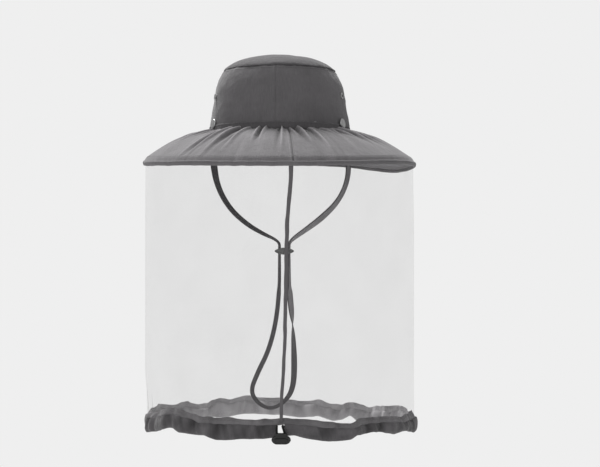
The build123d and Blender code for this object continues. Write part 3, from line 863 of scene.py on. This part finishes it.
def brim_points(angles, radii, below=0.0, strength=1.0):
    """The brim's points, and the light and shade painted on the folds at each."""
    angle, radius = np.meshgrid(angles, radii, indexing="ij")
    height = brim_height(radius) - droop(angle, radius) - below
    folds, fold_light_and_shade = brim_folds(angle, radius)
    folds = strength * folds
    x, y = plan(angle, radius)
    seam = np.where(y < 0, x - front_seam_x(radius), 99)
    folds += strength * (-0.9 * bump_at(seam, 0.9) + 0.7 * bump_at(seam - 2.2, 1.5))
    folds += strength * 0.6 * bump_at(seam + 2.2, 1.5)
    # Painted shade in the front seam's groove and painted light on the cloth beside it.
    fold_light_and_shade = fold_light_and_shade - 0.7 * bump_at(seam, 1.0) + 0.3 * bump_at(abs(seam) - 2.4, 1.2)
    return np.stack([x, y, height + folds], -1), fold_light_and_shade


angles = full_turn(1700)
shape, fold_light_and_shade = brim_points(angles, BRIM_ROWS)
across = measure(np.stack([BRIM_ROWS, brim_height(BRIM_ROWS), 0 * BRIM_ROWS], -1))
brim = grid("brim_cover", shape, angles * 132, across, brim_cloth, ROUND, flip=True, crest=fold_light_and_shade)
thicken(brim, 0.5)
dress(brim, "hat", "brim_fabric", "brim_top_cover")

angles = full_turn(900)
across = np.linspace(88.6, 172.6, 60)
shape, fold_light_and_shade = brim_points(angles, across, below=3.3, strength=0.3)
# The lining's folds carry half the brim's painted light and shade.
lining = grid("brim_lining", shape, angles * 132, across, lining_cloth, ROUND, flip=True, crest=fold_light_and_shade * 0.5)
thicken(lining, 0.4)
dress(lining, "hat", "brim_fabric", "brim_under_lining")

angles = full_turn(1400)
u = angles / TURN
section = np.array([
    (-1.6, 5.0), (-0.7, 5.3), (0.2, 4.8), (0.75, 3.6), (0.8, 2.2), (0.6, 0.8), (0.1, -0.3), (-0.9, -0.7),
    (-2.0, -0.2), (-2.6, 1.2), (-2.7, 2.8), (-2.4, 4.2),
])
out, up = section.T
along = np.linspace(0, 1, len(section))
crease = 0.22 * noise(u[:, None] + along * 0.004, along, 260, 3, 81) + 0.25 * noise(u[:, None], 0, 90, 1, 82)
wave = 0.5 * noise(u, 0, 34, 1, 83) + 0.25 * noise(u, 0, 120, 1, 84) - droop(angles, RIM)
shape = place_at(angles[:, None], 174.6 + out + crease, up - 39.6 + wave[:, None])
across = np.arange(len(section)) * 1.6
binding = grid("rim_edge", shape, angles * 175, across, binding_cloth, TUBE, flip=True)
dress(binding, "hat", "binding_fabric", "rim_binding")

angles = np.linspace(0, TURN, 1500)
above = np.array([0, 0, 0.1])
row = brim_points(angles, np.array([169.6]))[0][:, 0] + above
edge = place_at(angles, 175.42, -36.9 - droop(angles, RIM))
rows = [(row, outward(angles) * 0.5 + upwards), (edge, outward(angles))]
stitches("rim_stitching", rows, "binding_fabric", 2.5, 3.5, 0.25)

rows = []
radii = np.linspace(93, 170, 90)
for side in (-2.1, 2.1):
    angle = np.arcsin((front_seam_x(radii) + side) / radii)
    points = np.stack([brim_points(angle[k : k + 1], radii[k : k + 1])[0][0, 0] for k in range(90)])
    rows.append((points + above, np.tile([0.0, -0.4, 0.9], (90, 1))))
stitches("brim_seam_stitching", rows, "brim_fabric", radius=0.22)


# ==== hem and net

# The gathered hem's creased lines, as azimuth in degrees and height: its lower edge, and the
# fold at the top of its tunnel.
HEM_FOOT_LINE = [
    (-172, -376), (-163, -374.4), (-154, -379), (-146, -377.5), (-137, -382), (-128, -378),
    (-118, -381), (-108, -377), (-97, -380.5), (-88, -377), (-79, -379.5), (-66, -375.5), (-49.5, -366),
    (-46, -371.2), (-38, -372.6), (-31.5, -372), (-26.3, -377.5), (-16.6, -375.4), (-6, -374),
    (0.8, -371.5), (5.8, -369.6), (8.8, -372.8), (16.4, -377.6), (22.8, -378.7), (30.3, -376.7),
    (31.4, -373.2), (42, -371.1), (46.5, -371.3), (54, -376), (63, -374), (72, -377), (83, -381.5),
    (92, -378.5), (101, -383), (110, -380), (120, -384), (130.5, -381), (139, -384), (145, -375.5),
    (148, -380.2), (153.4, -384), (162, -378), (171, -381), (180, -377),
]
HEM_FOLD_LINE = [
    (-172, -358), (-162.5, -355.5), (-155.7, -360.5), (-151, -357), (-144.5, -364.5), (-138.5, -365),
    (-131, -360), (-120, -363), (-110, -359), (-100, -361), (-88, -359), (-77, -361), (-66, -357),
    (-52, -350), (-46.5, -351.4), (-39, -353.3), (-35, -357.8), (-19.5, -357.4), (-10.5, -358.1),
    (-1, -357.4), (3.6, -356), (19.5, -362), (29.5, -364.2), (36, -360.7), (48, -360), (60, -362.5),
    (72, -363.6), (84, -362), (95, -364.5), (106, -361), (118, -365), (128, -366), (134, -368),
    (137, -365), (141.6, -363.5), (145.8, -364.5), (149, -368), (153.4, -367), (162, -361), (171, -364),
    (180, -359),
]


def creased(line, angle):
    """A creased line's height at each plan angle, its corners barely eased."""
    at, value = np.array(line, float).T
    at = np.concatenate([at - 360, at, at + 360])
    value = np.tile(value, 3)
    degrees = (np.degrees(angle) + 180) % 360 - 180
    return sum(np.interp(degrees + d, at, value) for d in (-0.9, -0.3, 0.3, 0.9)) / 4


def hem_fold(angle):
    return creased(HEM_FOLD_LINE, angle) + 0.45 * kinks(angle / TURN, 150, 92)


def hem_foot(angle):
    return creased(HEM_FOOT_LINE, angle) + 0.5 * kinks(angle / TURN, 140, 91)


def hem_wander(angle):
    """How far the hem's line leaves its circle as it creases in and out."""
    u = angle / TURN
    still = 1 - 0.8 * bump_at(apart(angle, 0.0), 22)
    inwards = 2.9 - 0.9 * np.sin(angle)
    return still * (3.6 * kinks(u, 52, 93, 0.2) + 2.1 * kinks(u, 111, 94, 0.25)) - inwards


def net_offset(angle, height):
    """The net's slack: almost none under the rim, soft vertical waves below, the hem's folds at its foot."""
    u = angle / TURN
    drop = np.clip((NET_ANCHOR - height) / 300.0, 0, 1)
    slack = 0.9 * smooth(drop * 4) * noise(u, drop, 26, 2, 101)
    slack = slack + 0.5 * smooth(drop * 6) * noise(u, drop, 74, 1, 102)
    foot = smooth((drop - 0.82) / 0.18)
    return slack * (1 - foot) + foot * hem_wander(angle)


net_angles = full_turn(900)


def net_piece(name, tops, foots, across):
    """A round of net between two heights. across is its own measure from top to foot."""
    share = np.linspace(0, 1, len(across))[None]
    height = tops[:, None] * (1 - share) + foots[:, None] * share
    angle = np.broadcast_to(net_angles[:, None], height.shape)
    shape = place_at(angle, NET_RADIUS + net_offset(angle, height), height)
    piece = grid(name, shape, net_angles * NET_RADIUS, across, net_clear, ROUND, flip=True)
    return dress(piece, "hat", "net_mesh", "net_veil")


rim = -37.0 - droop(net_angles, RIM)
# Where the rim dips below the anchor, the upper piece keeps a sliver of height.
top = np.where(rim > NET_ANCHOR, rim, NET_ANCHOR + 0.02)
anchor = np.full(900, NET_ANCHOR)
foot = np.clip(hem_fold(net_angles) + 3.0, NET_FOOT - 8, NET_FOOT + 4)
net_upper = net_piece("net_upper", top, anchor, np.linspace(-42, NET_ANCHOR, 5))
net_lower = net_piece("net_lower", anchor, foot, np.linspace(NET_ANCHOR, NET_FOOT - 1, 130))
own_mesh(net_lower)

# ---- the tape over the net's front seam, from the rim to the hem

TAPE_LINE = np.array([
    (14.0, -51.0), (12.9, -72), (11.2, -92.6), (9.4, -110.3), (8.5, -139.8), (8.2, -157.5), (7.3, -205),
    (6.4, -257.8), (5.6, -276.7), (4.7, -293.2), (3.5, -313.3), (2.2, -331), (2.0, -354.5),
])
heights = np.linspace(-51.0, -354.5, 150)
down = heights / -400
middle = evened(np.interp(-heights, -TAPE_LINE[:, 1], TAPE_LINE[:, 0]), 11)
middle += 0.25 * noise(down, 0, 30, 1, 111)
width = np.interp(-heights, [51, 355], [4.9, 3.5]) + 0.35 * noise(down, 0, 44, 1, 112)
across = np.linspace(-0.5, 0.5, 5)
x = middle[:, None] + across[None] * width[:, None]
angle = np.arcsin(x / NET_RADIUS)
radius = 172.75 + net_offset(angle, heights[:, None] + 0 * angle)
radius += 0.35 * (1 - (across[None] * 2) ** 2) + 0.2 * noise(down, 0, 70, 1, 113)[:, None]
_, y = plan(angle, radius)
shape = np.stack([x, y, heights[:, None] + 0 * x], -1)
seam_tape = thicken(grid("net_front_tape", shape, -heights, (across + 0.5) * 4.2, seam_cloth), 0.5, 1.0)
seam_tape = joined("net_seam_tape", [seam_tape])
dress(seam_tape, "hat", "seam_tape", "front_seam_tape")
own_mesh(seam_tape)

# ---- hem: a casing for the drawcord with a ruffled heading

NOTCH = (-4.2, 6.0)


def tunnel_gathers(u, share):
    """Folds of the gathered tunnel: deep where its top is drawn in, and creased all the way down."""
    deep = 0.5 + 0.5 * (1 - share)
    soft = 1.5 * kinks(u + share * 0.006, 96, 121, 0.4) + 0.9 * kinks(u - share * 0.006, 244, 122, 0.6)
    return deep * soft + 0.6 * noise(u + share * 0.012, share * 0.9, 74, 3, 123)


def heading_gathers(u, share):
    lift = 0.2 + 1.3 * np.clip(share, 0, 1)
    return lift * (1.2 * kinks(u, 96, 124, 0.5) + 0.8 * kinks(u, 205, 125, 0.6))


notch_low = math.asin(NOTCH[0] / 175)
notch_high = math.asin(NOTCH[1] / 175)
angles = np.linspace(notch_high, notch_low + TURN, 2200)
# The tunnel's section as distance outwards and share of its height, down the front and up the back.
section = np.array([
    (0.4, -0.02), (1.5, 0.03), (2.3, 0.14), (2.9, 0.32), (3.1, 0.52), (2.9, 0.72), (2.2, 0.88), (0.8, 1.0),
    (-0.6, 1.0), (-1.9, 0.88), (-2.7, 0.72), (-3.0, 0.5), (-2.7, 0.3), (-2.0, 0.13), (-1.2, 0.03),
    (-0.4, -0.02),
])
stations = len(section)
u = angles[:, None] / TURN
out, share = section.T
fold = tunnel_gathers(u, share) * np.where(out > 0, 1.0, 0.8)
radius = NET_RADIUS + hem_wander(angles)[:, None] * (1 - 0.25 * share) + out + fold
height = hem_fold(angles)[:, None] * (1 - share) + hem_foot(angles)[:, None] * share
# Painted light on the tops of the tunnel's gathers and painted shade in their hollows.
casing = grid(
    "hem_tunnel",
    place_at(angles[:, None], radius, height),
    angles * NET_RADIUS * 1.3,
    np.arange(stations) * 2.8,
    hem_cloth,
    joins=(False, True),
    capped=True,
    crest=np.where(out > 0, 1, -1) * fold / 1.8,
)
line_inside(casing, hem_inner_cloth, lambda f: len(f.vertices) == 4 and f.index % stations > 7)
dress(casing, "hem", "hem_fabric", "hem_casing")

angles = np.arange(2400) / 2400 * TURN
# The heading stands up from the fold and leans inwards, so that it catches the light.
section = np.array([
    (0.5, -0.15), (0.9, 0.05), (0.2, 0.35), (-1.4, 0.7), (-3.0, 1.0), (-3.6, 1.03), (-3.8, 0.95),
    (-2.3, 0.62), (-0.7, 0.3), (-0.3, 0.0), (-0.4, -0.15),
])
stations = len(section)
u = angles / TURN
out, share = section.T
leans = 0.1 + 0.9 * smooth(np.cos(angles) + 0.6)[:, None]
fold = heading_gathers(u[:, None], share)
radius = NET_RADIUS + hem_wander(angles)[:, None] + np.where(share > 0.2, out * leans, out) + fold
tall = 6.6 + 1.3 * kinks(u, 66, 129, 0.3) + 0.6 * kinks(u, 170, 128, 0.5)
height = hem_fold(angles)[:, None] + share * tall[:, None]
# Painted light on the heading's gathers and painted shade between them.
heading = grid(
    "hem_heading",
    place_at(angles[:, None], radius, height),
    angles * NET_RADIUS * 1.3,
    np.arange(stations) * 2.0,
    heading_cloth_painted_light,
    joins=TUBE,
    crest=fold / 2.0,
)
line_inside(heading, hem_inner_cloth, lambda f: f.index % stations > 4)
dress(heading, "hem", "hem_fabric", "hem_casing")

angles = np.linspace(notch_high + 0.01, notch_low + TURN - 0.01, 1800)
radius = NET_RADIUS + hem_wander(angles) + 1.75 + tunnel_gathers(angles / TURN, 0.06)
row = place_at(angles, radius, hem_fold(angles) - 0.9)
stitches("hem_stitching", [(row, outward(angles))], "hem_fabric", 2.5, 3.5, 0.25, "hem")

# ---- drawcord: a ring in the tunnel whose two ends come out in front and go down into the lock


def cord_sections(line):
    """A braided cord's section: eight strands, turning both ways along the cord."""
    turn = full_turn(24)[None]
    lay = measure(line)[:, None] * 0.55
    ridge = 1 + 0.07 * np.cos(8 * (turn + lay)) + 0.05 * np.cos(8 * (turn - lay))
    return np.stack([np.cos(turn) * ridge, np.sin(turn) * ridge], -1)


ring_from = math.asin(24 / NET_RADIUS)
angles = np.linspace(ring_from, TURN - ring_from, 420)
middle = evened(hem_wander(angles) * 0.9 + 0.9 * tunnel_gathers(angles / TURN, 0.4), 5)
ring = place_at(angles, NET_RADIUS + middle, hem_fold(angles) * 0.6 + hem_foot(angles) * 0.4)
right_end = [
    (7.0, -188.6, -376.5), (7.0, -188.6, -370), (5.2, -187.6, -363), (3.4, -183, -358.6),
    (4.4, -176.8, -359.0), (9.5, -175.8, -361.5), (18, -175.4, -363),
]
left_end = [
    (-15, -175.6, -363), (-6.5, -176.0, -361.5), (-3.4, -176.8, -359.0), (-3.2, -183, -358.6),
    (-3.4, -187.6, -362), (-3, -188.6, -369), (-3, -188.6, -376.5),
]
cord_line = resample(spline_points("drawcord_route", [*right_end, *ring, *left_end]), 3400)
cord_side = unit(np.cross(tangents(cord_line), np.tile([0.13, 0.07, 1.0], (len(cord_line), 1))))
# The cord is squeezed inside the gathered tunnel and full outside it.
cord_size = np.where(cord_line[:, 1] < -180, 1.4, 0.95)[:, None, None]
drawcord = sweep("drawcord_braid", cord_line, cord_side, cord_sections(cord_line) * cord_size, cord_cloth)
dress(drawcord, "hem", "cord_black", "hem_drawcord")

# ---- the lock's coil spring, at rest in the lock

low, high = (np.array(corner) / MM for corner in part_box("lock_spring"))
centre, coil_radius = (low + high) / 2, (high[0] - low[0]) / 2 - 0.2
share = np.linspace(0, 1, 300)
turn = share * 4 * TURN
coil_side = np.stack([np.cos(turn), 0 * turn, np.sin(turn)], -1)
run = high[1] - 0.2 - share * (high[1] - low[1] - 0.4)
coil = coil_side * coil_radius + np.stack([centre[0] + 0 * run, run, centre[2] + 0 * run], -1)
spring = sweep("lock_coil", coil, coil_side, round_sections(300, 0.2, 8), spring_steel)
dress(spring, "cord_lock", "spring_steel", "lock_spring")
anchor = (0.002, high[1] * MM, -0.374)
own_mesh(spring)


# ==== tabs that hold the chin tape

TAB_LOOP = np.array([
    (-2.0, 1.2), (-1.0, 1.5), (0, 1.55), (1.0, 1.5), (2.0, 1.2), (2.05, -4), (2.0, -8.0), (1.5, -9.0),
    (0.9, -9.2), (0, -9.0), (-0.9, -9.2), (-1.5, -9.0), (-2.0, -8.0), (-2.05, -4),
])
TAB_STITCHING = np.array([
    (0, -17.2, -0.5), (0, -6.8, -0.5), (0, -6.8, -6.8), (0, -17.2, -6.8), (0, -17.2, -0.5),
])
depth = np.linspace(-18.3, -5.7, 14)
bulge = 1 + 0.05 * np.sin(np.linspace(0, math.pi, 14))
for sign, side, node in ((-1, "minus", "chin_anchor_tab_left"), (1, "plus", "chin_anchor_tab_right")):
    x = sign * TAB_X + TAB_LOOP[None, :, 0] * bulge[:, None]
    shape = np.stack(np.broadcast_arrays(x, depth[:, None], TAB_LOOP[None, :, 1]), -1)
    girth = measure(TAB_LOOP @ np.eye(2, 3))
    name = f"tape_tab_{side}_x"
    tab = grid(name, shape, depth + 20, girth, tab_cloth, (False, True), flip=True, capped=True)
    dress(tab, "hat", "tab_fabric", node)
    rows = []
    for face in (-2.15, 2.15):
        line = resample(TAB_STITCHING + np.array([sign * TAB_X + face, 0, 0]), 80)
        rows.append((line, np.tile([np.sign(face), 0.0, 0.0], (80, 1))))
    stitches(f"tab_stitching_{side}_x", rows, "tab_fabric", 1.6, 2.1, 0.2)


# ==== floor and light

paint = Shader("floor")
patch = paint.cloud(paint.place("Object", 1.0), 1.3, 2.0)
paint.finished({"Base Color": paint.mix(patch, tone(232), tone(236)), "Roughness": 0.9})
turn = full_turn(96)
disc = np.stack([3600 * np.sin(turn), 3600 * np.cos(turn), 0 * turn - 900], -1)
floor = add_mesh("floor", disc, [list(range(96))[::-1]], paint.material)

world = bpy.data.worlds.new("studio")
bpy.context.scene.world = world
world.use_nodes = True
studio = Nodes(world.node_tree)
sky = world.node_tree.nodes["Background"]
split = studio.node("ShaderNodeSeparateXYZ")
studio.plug(studio.node("ShaderNodeTexCoord").outputs["Generated"], split.inputs[0])
studio.plug(studio.spread(split.outputs["Z"], -1.0, 1.0, 0.34, 0.55), sky.inputs["Strength"])
studio.plug((1, 1, 1, 1), sky.inputs["Color"])
backdrop = studio.node("ShaderNodeBackground")
studio.plug(tone(239), backdrop.inputs["Color"])
studio.plug(1.0, backdrop.inputs["Strength"])
either = studio.node("ShaderNodeMixShader")
studio.plug(studio.node("ShaderNodeLightPath").outputs["Is Camera Ray"], either.inputs[0])
studio.plug(sky.outputs[0], either.inputs[1])
studio.plug(backdrop.outputs[0], either.inputs[2])
studio.plug(either.outputs[0], world.node_tree.nodes["World Output"].inputs["Surface"])


def area_light(name, place, target, size, power):
    light = bpy.data.lights.new(name, "AREA")
    light.shape = "DISK"
    light.size = size
    light.energy = power
    holder = add_object(name, light)
    holder.location = place
    aim = Vector(target) - Vector(place)
    holder.rotation_euler = aim.to_track_quat("-Z", "Y").to_euler()


area_light("key_light", (-0.35, 0.85, 1.8), (0, 0, -0.05), 0.6, 55)
area_light("front_light", (-0.8, -2.3, 0.2), (0, 0, -0.15), 1.8, 10)

scene = bpy.context.scene
scene.view_settings.view_transform = "Standard"
scene.view_settings.look = "None"

bpy.context.view_layer.update()
